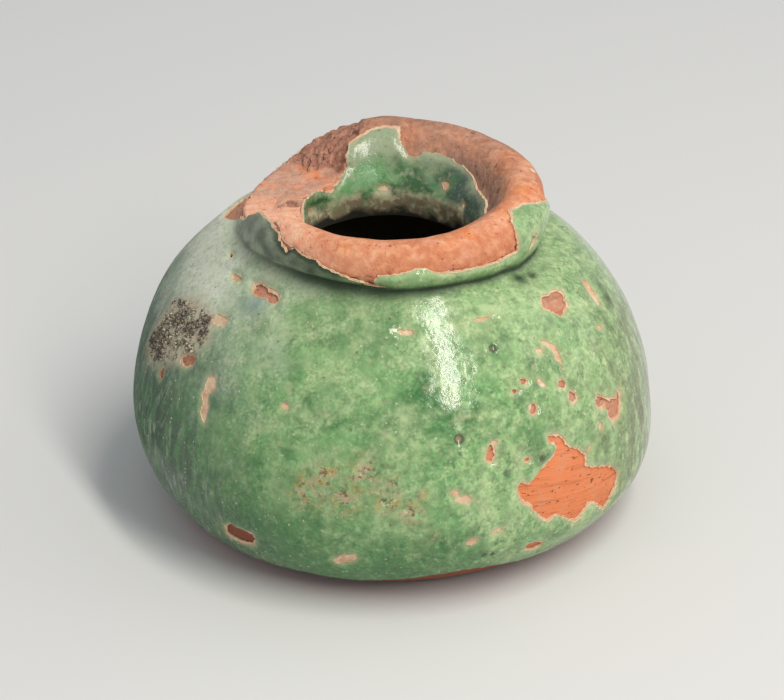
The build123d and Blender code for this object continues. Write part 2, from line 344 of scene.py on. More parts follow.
# Flaked places: azimuth, height, width, length, tilt from the right upwards; or an outline round the place
flakes = {
    "toClay": [
        (-43.5, 27.5, 1.5, 1.9, 20),
        (-45.4, 29.6, 1.6, 1.3, -30),
        (-55.6, 28.1, 1.4, 1.6, -20),
        (-56, 31.6, 1.1, 1.0, 0),
        (-68, 24.1, 1.6, 2.6, -10),
        (-57, 7.2, 3.4, 2.2, -15),
        (-132.9, 39.8, 2.8, 1.7, -10),
        (-161.5, 40.9, 1.0, 0.8, 0),
        (-148, 30, 3.4, 1.9, 18),
        (-156, 26, 1.3, 1.9, 0),
        (-166.5, 25.6, 0.9, 0.9, 0),
        (58, 24, 4.6, 3.0, 25),
        (64, 21.5, 2.2, 1.6, 0),
        (101, 9, 5.2, 2.6, -6),
        (128, 33, 3.0, 2.2, 30),
        (150, 19, 1.6, 2.2, 10),
        (22, 30, 1.5, 1.2, 0),
        (-25, 44.9, 1.3, 2.4, -20),
        (-59, 30.9, 0.8, 0.6, 0),
        (-59.5, 22.0, 0.9, 0.6, 20),
    ],
    "toSlip": [
        (-15, 35.3, 4.5, 1.7, 72),
        (-23, 32.2, 1.4, 0.8, -40),
        (-48, 34.1, 1.0, 0.6, 0),
        (-67.4, 12.5, 1.6, 0.8, 10),
        (-61, 39.0, 2.6, 0.35, -6),
        (-42, 19.7, 0.9, 0.6, 30),
        (-51, 30.7, 1.6, 0.7, -50),
        (-37, 21.7, 0.9, 1.2, 0),
        (-76.3, 19.4, 1.7, 1.1, -50),
        (-74.8, 18.4, 2.4, 1.2, -12),
        (-73, 11.5, 1.8, 1.2, 25),
        (-66.8, 25.4, 0.9, 0.8, 30),
        (-151, 39.8, 2.4, 1.1, 10),
        (-145, 35.8, 2.8, 1.8, 15),
        (-86, 38.8, 2.1, 0.9, -8),
        (-116, 29.7, 0.9, 0.7, 0),
        (84, 34, 3.4, 1.3, -20),
        (112, 22, 1.4, 2.4, 0),
        (38, 14, 2.6, 1.4, 15),
        (140, 12, 2.0, 1.4, 0),
    ],
    "clayOutlines": [
        (-49, 17, [
            (-3.1, 7.8), (-0.6, 7.1), (0.7, 5.0), (3.9, 2.6), (4.0, 0.5), (5.1, -0.1), (8.9, -1.6),
            (11.5, -4.0), (11.5, -5.5), (10.2, -8.0), (9.0, -10.0), (5.5, -6.8), (4.2, -6.1), (2.9, -7.8),
            (1.8, -8.4), (-1.1, -6.0), (-2.5, -5.1), (-3.7, -5.7), (-5.4, -4.4), (-7.0, -2.1), (-8.7, -0.6),
            (-9.2, 1.7), (-8.2, 2.2), (-7.0, 1.7), (-5.1, 3.2), (-3.7, 3.7), (-1.6, 5.3), (-3.2, 6.8),
        ]),
        (-31.7, 23.6, [
            (-3.3, 2.2), (-2.4, 2.5), (-1.3, 2.1), (-0.5, 1.3), (0.2, 0.8), (1.2, 0.5), (2.0, 0.2),
            (2.5, 0.9), (3.3, 0.8), (3.3, -0.4), (2.6, -1.7), (1.8, -2.6), (0.6, -2.9), (-0.6, -2.6),
            (-1.2, -1.5), (-1.2, -0.3), (-1.5, 0.3), (-2.4, 0.1), (-3.4, 1.0),
        ]),
        (-32.6, 37.6, [
            (-2.1, 1.4), (-1.2, 1.8), (0.2, 1.6), (1.0, 1.7), (1.9, 1.1), (2.8, 0.6), (2.7, 0.0), (2.2, -0.7),
            (2.1, -1.5), (0.8, -2.0), (-0.6, -2.2), (-1.5, -1.6), (-2.1, -0.7), (-2.8, 0.1), (-2.8, 0.8),
        ]),
        (-137.6, 40.0, [
            (-1.8, -0.6), (-2.1, 0.5), (-0.9, 1.1), (0.8, 0.9), (1.4, -0.2), (0.3, -1.2), (-1.0, -1.1),
        ]),
        (-97, 43.8, [(-1.2, -0.5), (0.3, -0.8), (2.2, -0.5), (0.9, 0.0), (0.5, 0.7), (-0.8, 1.2)]),
        (-125.4, 8.5, [
            (-2.9, 0.8), (-1.2, 1.9), (0.9, 1.7), (2.6, 1.8), (2.8, 0.3), (2.1, -1.1), (0.2, -1.9),
            (-1.5, -1.9), (-3.1, -1.4),
        ]),
    ],
    "slipOutlines": [
        (-44, 33.2, [
            (-1.3, 2.4), (-0.5, 2.2), (0.9, 0.9), (0.9, -1.0), (0.4, -2.3), (-0.1, -0.8), (-0.2, 0.9),
        ]),
        (-137.5, 27.5, [
            (-1.0, 2.5), (-0.2, 3.0), (0.6, 3.0), (1.1, 1.8), (0.7, 0.9), (0.2, 0.4), (0.6, -1.0),
            (1.1, -2.6), (1.0, -3.7), (0.3, -3.4), (-0.3, -2.3), (-0.7, -0.9), (-0.9, 0.6), (-1.0, 1.7),
        ]),
        (-135.7, 40.0, [
            (-1.9, -0.3), (-2.2, 0.4), (-0.5, 0.8), (1.4, 0.9), (2.3, 0.2), (1.9, -0.8), (0.1, -1.0),
        ]),
        (-100.1, 8.8, [
            (-2.0, -0.5), (-1.1, 0.2), (-0.1, 0.9), (1.5, 1.1), (1.8, 0.6), (1.2, -0.3), (0.0, -1.0),
            (-1.2, -1.3),
        ]),
    ],
    "rag": 0.26,  # how far the edges wander
    "ragSize": 1.0,
    "fineRag": 0.2,
    "fineRagSize": 0.45,
    "fullMargin": 2.4,  # narrower flakes keep less of the slip's margin
}
# Upper edge of the glaze on the rim and, where the rim is broken, on the shoulder
rimEdge = [
    (-178, 43.8), (-172, 45.0), (-168, 47.2), (-164, 48.3), (-154, 48.5), (-143.5, 48.2), (-133.5, 46.8),
    (-131, 47.5), (-119.5, 47.0), (-107, 45.4), (-98, 43.4), (-95, 46.0), (-87, 46.5), (-78, 46.9),
    (-75, 46.0), (-65, 45.4), (-55, 45.1), (-46, 44.9), (-36.5, 44.8), (-36, 47.0), (-33.5, 48.6),
    (-29, 49.2), (-21, 49.0), (-11.5, 47.9), (-4, 46.6), (4, 45.2), (14, 44.4), (25, 45.2), (40, 44.1),
    (55, 45.0), (70, 44.0), (85, 44.9), (100, 44.2), (108, 45.6), (115, 46.4), (126, 45.0), (138, 43.9),
    (144, 42.9), (150, 41.3), (156, 40.2), (163.5, 39.9), (168, 40.5), (172, 41.4), (177, 42.8),
]
footEdge = [
    (-180, 3.2), (-150, 3.6), (-125, 3.0), (-110, 3.4), (-97, 3.2), (-88, 4.0), (-81, 4.8), (-74, 5.3),
    (-67, 5.0), (-58, 3.9), (-40, 3.2), (-20, 3.7), (0, 3.0), (40, 3.6), (80, 3.1), (120, 3.7), (150, 3.1),
]
rimPerDegree = math.radians(1) * jar["rim"]
footPerDegree = math.radians(1) * radiusAtHeight(3.4)  # at the height of the foot's edge
rimFrom, footTo = 37, 9  # heights past which the rim's and the foot's edge are looked for
farGap = 6.0  # past this the distance to an edge no longer matters
nearGap = 3.0  # within this it is measured again on finer faces
leastGap = 1e-3  # no point lies right on an edge
leastFaces = 60  # smaller islands of a coat are dropped


def segmentGap(u, v, start, end):
    du, dv = end[0] - start[0], end[1] - start[1]
    share = ((u - start[0]) * du + (v - start[1]) * dv) / max(du * du + dv * dv, 1e-9)
    share = min(1.0, max(0.0, share))
    return math.hypot(u - start[0] - share * du, v - start[1] - share * dv)


def outlineGap(u, v, outline):  # below zero inside
    inside, gap = False, 1e9
    for start, end in zip(outline, outline[1:] + outline[:1]):
        gap = min(gap, segmentGap(u, v, start, end))
        if (start[1] > v) != (end[1] > v):
            if u < start[0] + (end[0] - start[0]) * (v - start[1]) / (end[1] - start[1]):
                inside = not inside
    return -gap if inside else gap


def ellipseGap(u, v, width, length, tilt):
    c, s = math.cos(math.radians(tilt)), math.sin(math.radians(tilt))
    across, up = (u * c + v * s) / (width / 2), (v * c - u * s) / (length / 2)
    reach = math.hypot(across, up)
    slope = math.hypot(across / (width / 2), up / (length / 2))
    if slope < 1e-6:
        return -min(width, length) / 2
    return reach * (reach - 1) / slope


def edgeLine(points, perDegree, alongAt):  # as distances round and up, carried on past both ends
    turns = sorted((azimuth + turn, height) for turn in (-360, 0, 360) for azimuth, height in points)
    return [(azimuth * perDegree, alongAt(height)) for azimuth, height in turns]


def lineGap(u, v, line, reach):  # above zero below the line
    gap, level = reach, None
    for start, end in zip(line, line[1:]):
        if end[0] < u - reach or start[0] > u + reach:
            continue
        gap = min(gap, segmentGap(u, v, start, end))
        if start[0] <= u <= end[0]:
            level = start[1] + (end[1] - start[1]) * (u - start[0]) / max(end[0] - start[0], 1e-9)
    return gap if level is None or v < level else -gap


rimLine = edgeLine(rimEdge, rimPerDegree, alongAtHeight)
footLine = edgeLine(footEdge, footPerDegree, alongAtHeight)


def placedFlakes(kinds):
    placed = []
    for kind in kinds:
        for azimuth, height, *shape in flakes[kind]:
            if kind.endswith("Outlines"):
                reach, narrow = max(math.hypot(u, v) for u, v in shape[0]), 1.0
            else:
                reach, narrow = max(shape[:2]) / 2, min(1.0, min(shape[:2]) / flakes["fullMargin"])
            place = azimuth, alongAtHeight(height), radiusAtHeight(height)
            placed.append((*place, reach + farGap, narrow, shape))
    return placed


def flakeGap(azimuth, along, placed, margin=0.0):  # small flakes keep a narrower margin
    gap = farGap
    for place, up, radius, reach, narrow, shape in placed:
        v = along - up
        if abs(v) > reach:
            continue
        u = math.radians(wrapped(azimuth - place)) * radius
        if abs(u) > reach:
            continue
        shown = outlineGap(u, v, shape[0]) if len(shape) == 1 else ellipseGap(u, v, *shape)
        gap = min(gap, shown + margin * narrow)
    return gap


def raggedness(point):
    coarse = flakes["rag"] * grainNoise(point, flakes["ragSize"], 3)
    return coarse + flakes["fineRag"] * grainNoise(point, flakes["fineRagSize"], 7)


def coatGap(point, placed, margin):  # below zero where the coat is gone
    azimuth = azimuthOf(point)
    along = alongOf(math.hypot(point.x, point.y), point.z)
    gap = flakeGap(azimuth, along, placed, margin)
    if point.z > rimFrom:
        gap = min(gap, lineGap(azimuth * rimPerDegree, along, rimLine, farGap) + 0.5 * margin)
    elif point.z < footTo:
        gap = min(gap, margin - lineGap(azimuth * footPerDegree, along, footLine, farGap))
    return gap + raggedness(point)


def split(bm, edges):
    bmesh.ops.subdivide_edges(bm, edges=edges, cuts=1, use_grid_fill=True)
    bmesh.ops.triangulate(bm, faces=[f for f in bm.faces if len(f.verts) > 4])


def measured(bm, layer, gapAt, most):
    for vert in bm.verts:
        if abs(vert[layer]) <= most:
            gap = gapAt(vert.co)
            vert[layer] = gap if abs(gap) > leastGap else leastGap


def refined(bm, layer, gapAt, levels):  # finer faces along the edge that will be cut
    for _ in range(levels):
        near = []
        for edge in bm.edges:
            first, second = (vert[layer] for vert in edge.verts)
            if first * second < 0 or min(abs(first), abs(second)) < edge.calc_length():
                near.append(edge)
        split(bm, near)
        measured(bm, layer, gapAt, nearGap)


def cutAway(bm, layer):  # takes away the faces where the layer is below zero
    crossing = [f for f in bm.faces if min(v[layer] for v in f.verts) < 0 < max(v[layer] for v in f.verts)]
    bmesh.ops.triangulate(bm, faces=crossing)
    cuts = []
    for edge in bm.edges[:]:
        start, end = edge.verts
        if start[layer] * end[layer] < 0:
            share = start[layer] / (start[layer] - end[layer])
            vert = bmesh.utils.edge_split(edge, start, share)[1]
            vert[layer] = 0.0
            cuts.append(vert)
    bmesh.ops.connect_verts(bm, verts=cuts)
    gone = [f for f in bm.faces if min(v[layer] for v in f.verts) < 0]
    bmesh.ops.delete(bm, geom=gone, context="FACES")


def dropIslands(bm):  # no loose crumbs of coat
    left = dict.fromkeys(bm.faces)  # keeps their order, as a set would not
    crumbs = []
    while left:
        island, waiting = [], [left.popitem()[0]]
        while waiting:
            face = waiting.pop()
            island.append(face)
            for edge in face.edges:
                for other in edge.link_faces:
                    if other in left:
                        del left[other]
                        waiting.append(other)
        if len(island) < leastFaces:
            crumbs += island
    bmesh.ops.delete(bm, geom=crumbs, context="FACES")


def cutSheet(bm, gapAt, levels):  # a coat, cut to its edges
    layer = bm.verts.layers.float.new("edge")
    measured(bm, layer, gapAt, farGap)
    refined(bm, layer, gapAt, levels)
    cutAway(bm, layer)
    dropIslands(bm)
    bm.normal_update()
    return layer


def thickened(bm, depth, rimMaterial):  # a real coat, with its own material on the broken edge
    outer = set(bm.verts)
    bmesh.ops.solidify(bm, geom=bm.faces[:], thickness=depth)
    for face in bm.faces:
        kept = sum(vert in outer for vert in face.verts)
        if 0 < kept < len(face.verts):
            face.material_index = rimMaterial


def newLayers(bm, *names):
    return [bm.verts.layers.float.new(name) for name in names]


def meshOf(bm, name):
    mesh = bpy.data.meshes.new(name)
    bm.to_mesh(mesh)
    bm.free()
    return mesh


def linked(name, data):
    made = bpy.data.objects.new(name, data)
    bpy.context.scene.collection.objects.link(made)
    return made


def finishPiece(bm, name, node, surfaces, sharpAngle=38):
    for face in bm.faces:
        face.smooth = True
    for edge in bm.edges:
        edge.smooth = edge.calc_face_angle(0.0) < math.radians(sharpAngle)
    bmesh.ops.scale(bm, vec=(mm, mm, mm), verts=bm.verts[:])
    mesh = meshOf(bm, name)
    for surface in surfaces:
        mesh.materials.append(materials[surface])
    piece = linked(name, mesh)
    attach(piece, "root")
    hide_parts(node)
    mesh.calc_loop_triangles()
    print(name, "has", len(mesh.loop_triangles), "triangles")


# Node trees
def feed(tree, node, inputs):
    for name, value in inputs.items():
        if isinstance(value, bpy.types.NodeSocket):
            tree.links.new(value, node.inputs[name])
        else:
            node.inputs[name].default_value = value


def addNode(tree, kind, settings, inputs):
    node = tree.nodes.new(kind)
    for name, value in settings.items():
        setattr(node, name, value)
    feed(tree, node, inputs)
    return node.outputs


def rgb(colour):
    return (*colour, 1.0)


def mixed(tree, factor, first, second, blend="MIX"):
    first, second = (c if isinstance(c, bpy.types.NodeSocket) else rgb(c) for c in (first, second))
    settings = {"data_type": "RGBA", "blend_type": blend}
    return addNode(tree, "ShaderNodeMix", settings, {0: factor, 6: first, 7: second})[2]


def figured(tree, operation, first, second):
    return addNode(tree, "ShaderNodeMath", {"operation": operation}, {0: first, 1: second})[0]


def ramped(tree, value, low, high, bottom=0.0, top=1.0):
    inputs = {"Value": value, "From Min": low, "From Max": high, "To Min": bottom, "To Max": top}
    return addNode(tree, "ShaderNodeMapRange", {"interpolation_type": "SMOOTHSTEP"}, inputs)[0]


def newGroup(name, numbers, result):  # a vector and these numbers go in, one number comes out
    tree = bpy.data.node_groups.new(name, "ShaderNodeTree")
    tree.interface.new_socket("Vector", in_out="INPUT", socket_type="NodeSocketVector")
    for label in numbers:
        tree.interface.new_socket(label, in_out="INPUT", socket_type="NodeSocketFloat")
    tree.interface.new_socket(result, in_out="OUTPUT", socket_type="NodeSocketFloat")
    return tree, tree.nodes.new("NodeGroupInput").outputs, tree.nodes.new("NodeGroupOutput").inputs[result]


def mottleGroup():  # soft patches
    tree, given, mask = newGroup("mottle", ("Scale", "Low", "High"), "Mask")
    inputs = {"Vector": given["Vector"], "Scale": given["Scale"]}
    inputs |= {"Detail": 5.0, "Roughness": 0.6, "Distortion": 0.3}
    cloud = addNode(tree, "ShaderNodeTexNoise", {}, inputs)["Fac"]
    tree.links.new(ramped(tree, cloud, given["Low"], given["High"]), mask)
    return tree


def speckGroup():  # scattered small spots, a share of the cells filled
    tree, given, mask = newGroup("specks", ("Scale", "Size", "Share"), "Mask")
    inputs = {"Vector": given["Vector"], "Scale": figured(tree, "MULTIPLY", given["Scale"], 3.0)}
    wander = addNode(tree, "ShaderNodeTexNoise", {}, inputs)["Color"]
    inputs = {0: wander, 1: (0.5, 0.5, 0.5), 2: given["Vector"]}
    moved = addNode(tree, "ShaderNodeVectorMath", {"operation": "MULTIPLY_ADD"}, inputs)[0]
    cells = addNode(tree, "ShaderNodeTexVoronoi", {}, {"Vector": moved, "Scale": given["Scale"]})
    picked = addNode(tree, "ShaderNodeSeparateColor", {}, {"Color": cells["Color"]})
    size = figured(tree, "MULTIPLY", given["Size"], picked[1])
    spot = figured(tree, "LESS_THAN", cells["Distance"], size)
    chosen = figured(tree, "LESS_THAN", picked[0], given["Share"])
    tree.links.new(figured(tree, "MULTIPLY", spot, chosen), mask)
    return tree


def gritGroup():  # height in millimetres for bump, in three sizes
    tree, given, height = newGroup("grit", ("Scale", "Depth"), "Height")
    total = None
    for times, share in ((1.0, 1.0), (2.7, 0.45), (7.0, 0.2)):
        scale = figured(tree, "MULTIPLY", given["Scale"], times)
        inputs = {"Vector": given["Vector"], "Scale": scale, "Detail": 2.0}
        part = figured(tree, "MULTIPLY", addNode(tree, "ShaderNodeTexNoise", {}, inputs)["Fac"], share)
        total = part if total is None else figured(tree, "ADD", total, part)
    tree.links.new(figured(tree, "MULTIPLY", total, given["Depth"]), height)
    return tree


groups = {"mottle": mottleGroup(), "specks": speckGroup(), "grit": gritGroup()}


class Finish:  # a material in the making, with its colours and the colour so far
    def __init__(self, name, look):
        self.material = bpy.data.materials.new(name)
        self.material.use_nodes = True
        self.tree = self.material.node_tree
        self.look = look
        self.colour = None
        where = addNode(self.tree, "ShaderNodeTexCoord", {}, {})["Object"]
        self.place = self.moved(where, (1 / mm,) * 3)  # in millimetres

    def moved(self, vector, scale=(1, 1, 1), turn=(0, 0, 0), shift=(0, 0, 0)):
        inputs = {"Vector": vector, "Scale": scale, "Rotation": turn, "Location": shift}
        return addNode(self.tree, "ShaderNodeMapping", {}, inputs)[0]

    def axes(self):
        return addNode(self.tree, "ShaderNodeSeparateXYZ", {}, {0: self.place})

    def attribute(self, name):
        return addNode(self.tree, "ShaderNodeAttribute", {"attribute_name": name}, {})["Fac"]

    def cloud(self, vector, scale, roughness=0.5, detail=7.0):
        inputs = {"Vector": vector, "Scale": scale, "Detail": detail, "Roughness": roughness}
        return addNode(self.tree, "ShaderNodeTexNoise", {}, inputs)["Fac"]

    def grouped(self, name, inputs):
        return addNode(self.tree, "ShaderNodeGroup", {"node_tree": groups[name]}, inputs)[0]

    def mottle(self, vector, scale, low, high):
        return self.grouped("mottle", {"Vector": vector, "Scale": scale, "Low": low, "High": high})

    def specks(self, vector, scale, size, share):
        return self.grouped("specks", {"Vector": vector, "Scale": scale, "Size": size, "Share": share})

    def grit(self, scale, depth):
        return self.grouped("grit", {"Vector": self.place, "Scale": scale, "Depth": depth})

    def ramped(self, *values):
        return ramped(self.tree, *values)

    def joined(self, operation, *values):
        total = values[0]
        for value in values[1:]:
            total = figured(self.tree, operation, total, value)
        return total

    def summed(self, *terms):  # each a value, or a value and its weights
        weighed = (self.joined("MULTIPLY", *t) if isinstance(t, tuple) else t for t in terms)
        return self.joined("ADD", *weighed)

    def blended(self, first, second, *masks, blend="MIX"):  # colours of the look by name, or sockets
        first, second = (self.look[c] if isinstance(c, str) else c for c in (first, second))
        return mixed(self.tree, self.joined("MULTIPLY", *masks), first, second, blend)

    def paint(self, colour, *masks):  # over what is there, where all the masks are
        self.colour = self.blended(self.colour, colour, *masks)

    def overlay(self, tone, *masks):
        self.colour = self.blended(self.colour, tone, *masks, blend="OVERLAY")

    def done(self, roughness, relief):  # relief in millimetres
        inputs = {"Height": relief, "Distance": mm, "Strength": 1.0}
        normal = addNode(self.tree, "ShaderNodeBump", {}, inputs)["Normal"]
        inputs = {"Base Color": self.colour, "Roughness": roughness, "Normal": normal}
        feed(self.tree, self.tree.nodes["Principled BSDF"], inputs)
        return self.material


glazeLook = {
    "deep": (0.055, 0.185, 0.055),
    "mid": (0.21, 0.405, 0.155),
    "light": (0.42, 0.55, 0.27),
    "straw": (0.64, 0.62, 0.36),
    "patina": (0.76, 0.76, 0.63),
    "murk": (0.045, 0.065, 0.052),
    "slate": (0.135, 0.18, 0.15),
    "olive": (0.13, 0.135, 0.05),
    "pool": (0.012, 0.028, 0.012),
    "cream": (0.70, 0.63, 0.45),
    "brown": (0.16, 0.085, 0.045),
    "beige": (0.50, 0.37, 0.22),
    "ochre": (0.46, 0.35, 0.10),
    "soot": (0.075, 0.066, 0.052),
    "dust": (0.55, 0.475, 0.335),
    "ring": (0.085, 0.095, 0.05),
    "core": (0.42, 0.27, 0.17),
    "blue": (0.15, 0.24, 0.24),
    "gloss": 0.14,
    "haloPlace": (-137, 39.0),
}


def greenGlaze():
    made = Finish("greenGlaze", glazeLook)
    place = made.place
    x, _, z = made.axes()
    runs = made.moved(place, (0.55, 0.55, 0.14))
    second = made.moved(place, shift=(40, 0, 0))
    third = made.moved(place, shift=(0, 70, 0))
    cloud = made.cloud(place, 0.12)
    grain = made.cloud(second, 0.85, 0.6)
    fine = made.cloud(third, 2.2)
    # broad patches and runs, yellower towards the right
    made.colour = made.blended("mid", "deep", made.mottle(place, 0.10, 0.46, 0.68))
    made.paint("light", made.mottle(runs, 0.5, 0.45, 0.70), 0.7)
    made.paint("light", made.ramped(made.summed(x, (cloud, 30.0)), 20.0, 50.0), 0.5)
    made.paint("light", made.mottle(second, 0.22, 0.46, 0.66), 0.6)
    made.paint("deep", made.mottle(third, 0.35, 0.50, 0.70), 0.6)
    made.paint("straw", made.mottle(second, 0.6, 0.52, 0.72), 0.35)
    edgeward = made.summed(x, (cloud, 10.0))
    # olive at the right edge: streaky glaze, made darker still as painted shade
    made.paint("olive", made.ramped(edgeward, 31.0, 43.0), made.mottle(runs, 1.1, 0.36, 0.60), 0.95)
    made.paint("light", made.ramped(made.summed(z, (cloud, 10.0)), 34.0, 46.0), 0.3)
    # the dull left side: weathered pale patina above, slate below as painted shade
    patina = made.ramped(made.summed((x, -1.0), (z, 0.6), (cloud, 24.0)), 43.0, 63.0)
    level = made.summed(z, (cloud, 12.0))
    dull = made.blended("patina", "slate", made.ramped(level, 46.0, 33.0))
    dull = made.blended(dull, "mid", made.mottle(second, 0.9, 0.48, 0.66), 0.35)
    made.paint(dull, patina, 0.85)
    # deep green low down and on the left: partly thicker glaze, partly painted shade
    made.paint("deep", made.ramped(made.summed((x, 0.35), level), 28.0, 8.0), 0.9)
    # low on the left, murk in streaks is painted shade; pale patina streaks go over it
    lowLeftShade = made.ramped(made.summed((x, -1.0), (z, -0.6)), 4.0, 24.0)
    made.paint("murk", lowLeftShade, 0.72, made.mottle(runs, 1.3, 0.36, 0.60))
    made.paint("patina", lowLeftShade, 0.3, made.mottle(runs, 2.2, 0.50, 0.70))
    # fine grain over all of it, livelier low down and on the right
    lively = made.ramped(made.summed(edgeward, (z, -0.8)), -40.0, 5.0, 0.3, 0.75)
    made.overlay(made.ramped(grain, 0.34, 0.66, 0.34, 0.70), lively, 0.8)
    patchy = made.ramped(made.cloud(third, 0.3, 0.6), 0.38, 0.62, 0.15, 0.75)
    made.overlay(made.ramped(fine, 0.34, 0.66, 0.36, 0.65), patchy)
    made.paint("straw", lively, 0.5, made.ramped(grain, 0.56, 0.72))
    made.paint("deep", made.mottle(third, 0.8, 0.60, 0.70), lively, 0.9)
    made.paint("cream", made.specks(place, 1.5, 0.24, 0.35), 0.75)
    made.paint("brown", made.specks(third, 1.1, 0.26, 0.25), 0.5)
    # marks
    made.paint("straw", made.attribute("edge"), 0.35)
    haloTurn, haloHeight = glazeLook["haloPlace"]
    halo = handThrown(outsideAt(haloTurn, alongAtHeight(haloHeight), jar["coat"]))
    away = addNode(made.tree, "ShaderNodeVectorMath", {"operation": "DISTANCE"}, {0: place, 1: halo})["Value"]
    made.paint("blue", made.ramped(away, 4.0, 0.0), 0.6)
    scab, stain, pool, pit = (made.attribute(name) for name in ("scab", "stain", "pool", "pit"))
    made.paint("beige", scab, made.mottle(place, 0.8, 0.42, 0.58))
    made.paint("ochre", scab, made.mottle(third, 0.6, 0.52, 0.62))
    made.paint("brown", scab, made.mottle(second, 1.6, 0.54, 0.62))
    made.paint("cream", scab, made.mottle(third, 2.0, 0.60, 0.66))
    made.paint("dust", stain, made.mottle(place, 0.9, 0.32, 0.54))
    made.paint("soot", stain, 0.6, made.mottle(second, 1.3, 0.52, 0.66))
    # the pool layer: pooled glaze and dark glaze spots, with painted shade on the rim's left side and below
    # its bare edge
    made.paint("pool", pool)
    made.paint("ring", made.ramped(pit, 0.0, 0.7), 0.85)
    made.paint("core", made.ramped(pit, 0.78, 1.0), 0.9)
    dry = made.joined("MAXIMUM", patina, scab, stain, pool)
    worn = made.joined("MULTIPLY", made.ramped(grain, 0.46, 0.62), 0.2)
    worn = made.joined("MAXIMUM", dry, worn)
    relief = made.summed(made.grit(0.65, 0.05), (dry, 0.06, grain))
    return made.done(made.ramped(worn, 0.0, 0.9, glazeLook["gloss"], 0.72), relief)


clayLook = {
    "clay": (0.84, 0.25, 0.095),
    "pale": (0.78, 0.32, 0.165),
    "dusty": (0.50, 0.25, 0.165),
    "dust": (0.60, 0.40, 0.28),
    "dark": (0.17, 0.052, 0.03),
    "soot": (0.09, 0.04, 0.025),
}


def redClay():
    made = Finish("redClay", clayLook)
    place = made.place
    x, _, z = made.axes()
    tilted = made.moved(place, turn=(0, math.radians(-14), 0))
    lines = made.moved(tilted, (0.12, 0.12, 2.2))
    nicks = made.moved(tilted, (0.8, 0.8, 1.7))
    made.colour = made.blended("clay", "pale", made.mottle(place, 0.3, 0.45, 0.7), 0.6)
    upper = made.ramped(made.summed(z, (x, -0.3)), 14.0, 24.0)
    outer = made.ramped(made.summed(z, x), 47.0, 50.0)
    worn = made.joined("MAXIMUM", upper, outer)
    made.paint("dusty", worn, 0.75)
    made.paint("dust", worn, 0.7, made.mottle(place, 1.2, 0.48, 0.66))
    made.paint("dark", made.mottle(lines, 1.0, 0.5, 0.68), 0.3)
    made.paint("soot", made.mottle(nicks, 1.5, 0.61, 0.67), 0.85)
    # darker low down, reaching higher on the left: painted shade, with some dirt at the foot
    low = made.summed(z, (made.joined("MINIMUM", x, 0.0), 0.2))
    made.paint("dark", made.ramped(low, 9.0, 4.5), 0.9)
    ridges = made.cloud(lines, 1.0, detail=4.0)
    return made.done(0.88, made.summed((ridges, 0.12), made.grit(2.5, 0.03)))


coilLook = {
    "clay": (0.72, 0.265, 0.125),
    "pink": (0.87, 0.40, 0.23),
    "orange": (0.82, 0.275, 0.10),
    "pale": (0.97, 0.52, 0.34),
    "grey": (0.28, 0.185, 0.145),
    "dusty": (0.52, 0.30, 0.215),
    "break": (0.36, 0.155, 0.10),
    "crumb": (0.52, 0.26, 0.175),
    "crevice": (0.13, 0.05, 0.032),
    "crack": (0.36, 0.15, 0.085),
    "rust": (0.46, 0.165, 0.085),
    "soot": (0.17, 0.075, 0.05),
    "lime": (0.80, 0.70, 0.55),
}


def rimClay():
    made = Finish("rimClay", coilLook)
    place = made.place
    x, y, _ = made.axes()
    second = made.moved(place, shift=(30, 0, 0))
    cloud = made.cloud(place, 0.3, detail=6.0)
    made.colour = made.blended("clay", "pink", made.mottle(place, 0.25, 0.42, 0.66))
    made.paint("orange", made.mottle(second, 0.18, 0.50, 0.68))
    made.paint("pink", made.mottle(second, 0.9, 0.5, 0.7), 0.5)
    # greyer at the back and on the right of the mouth, paler on the left, rusty low at the front
    made.paint("grey", made.ramped(made.summed(y, (x, 0.25), (cloud, 26.0)), 15.0, 36.0), 0.65)
    made.paint("pale", made.ramped(made.summed((x, -1.0), (cloud, 14.0)), 13.0, 23.0), 0.85)
    flat = made.moved(place, (1, 1, 0))
    reach = addNode(made.tree, "ShaderNodeVectorMath", {"operation": "LENGTH"}, {0: flat})["Value"]
    reach = made.summed(reach, (cloud, 3.0))
    made.paint("grey", made.ramped(reach, 18.5, 16.5), made.ramped(x, 5.0, 10.0), 0.7)
    made.paint("rust", made.ramped(reach, 20.4, 22.6), made.ramped(y, -3.0, -10.0), 0.3)
    # the break
    dusty = made.blended("dusty", "clay", made.mottle(second, 0.35, 0.45, 0.6))
    made.paint(dusty, made.attribute("scar"), 0.75)
    shear = made.moved(place, (1.5, 1.0, 0.5), turn=(0, math.radians(40), 0))
    crumbs = made.blended("break", "crumb", made.mottle(shear, 0.9, 0.42, 0.62))
    crumbs = made.blended(crumbs, "crevice", made.mottle(shear, 1.2, 0.56, 0.66))
    made.paint(crumbs, made.attribute("rough"))
    # grain and marks
    made.overlay(made.ramped(made.cloud(second, 0.9, 0.65), 0.32, 0.68, 0.28, 0.72), 0.4)
    made.paint("soot", made.mottle(second, 1.4, 0.61, 0.69), 0.75)
    strip = made.attribute("strip")
    # the sunken strip along the glaze's edge is painted darker as painted shade, with a pale line at its far
    # side
    made.paint("crack", made.ramped(strip, 0.5, 0.58), 0.85)
    made.paint("lime", made.ramped(strip, 0.42, 0.47), made.ramped(strip, 0.57, 0.52), 0.9)
    made.paint("crack", made.attribute("crack"))
    made.paint("lime", made.attribute("lime"))
    return made.done(0.86, made.grit(1.1, 0.2))


slipLook = {
    "cream": (0.77, 0.55, 0.36),
    "tan": (0.68, 0.37, 0.215),
    "white": (0.82, 0.69, 0.49),
}


def paleSlip():
    made = Finish("paleSlip", slipLook)
    made.colour = made.blended("cream", "tan", made.mottle(made.place, 0.5, 0.4, 0.65))
    made.paint("white", made.mottle(made.place, 1.3, 0.5, 0.7))
    return made.done(0.9, made.grit(2.2, 0.05))


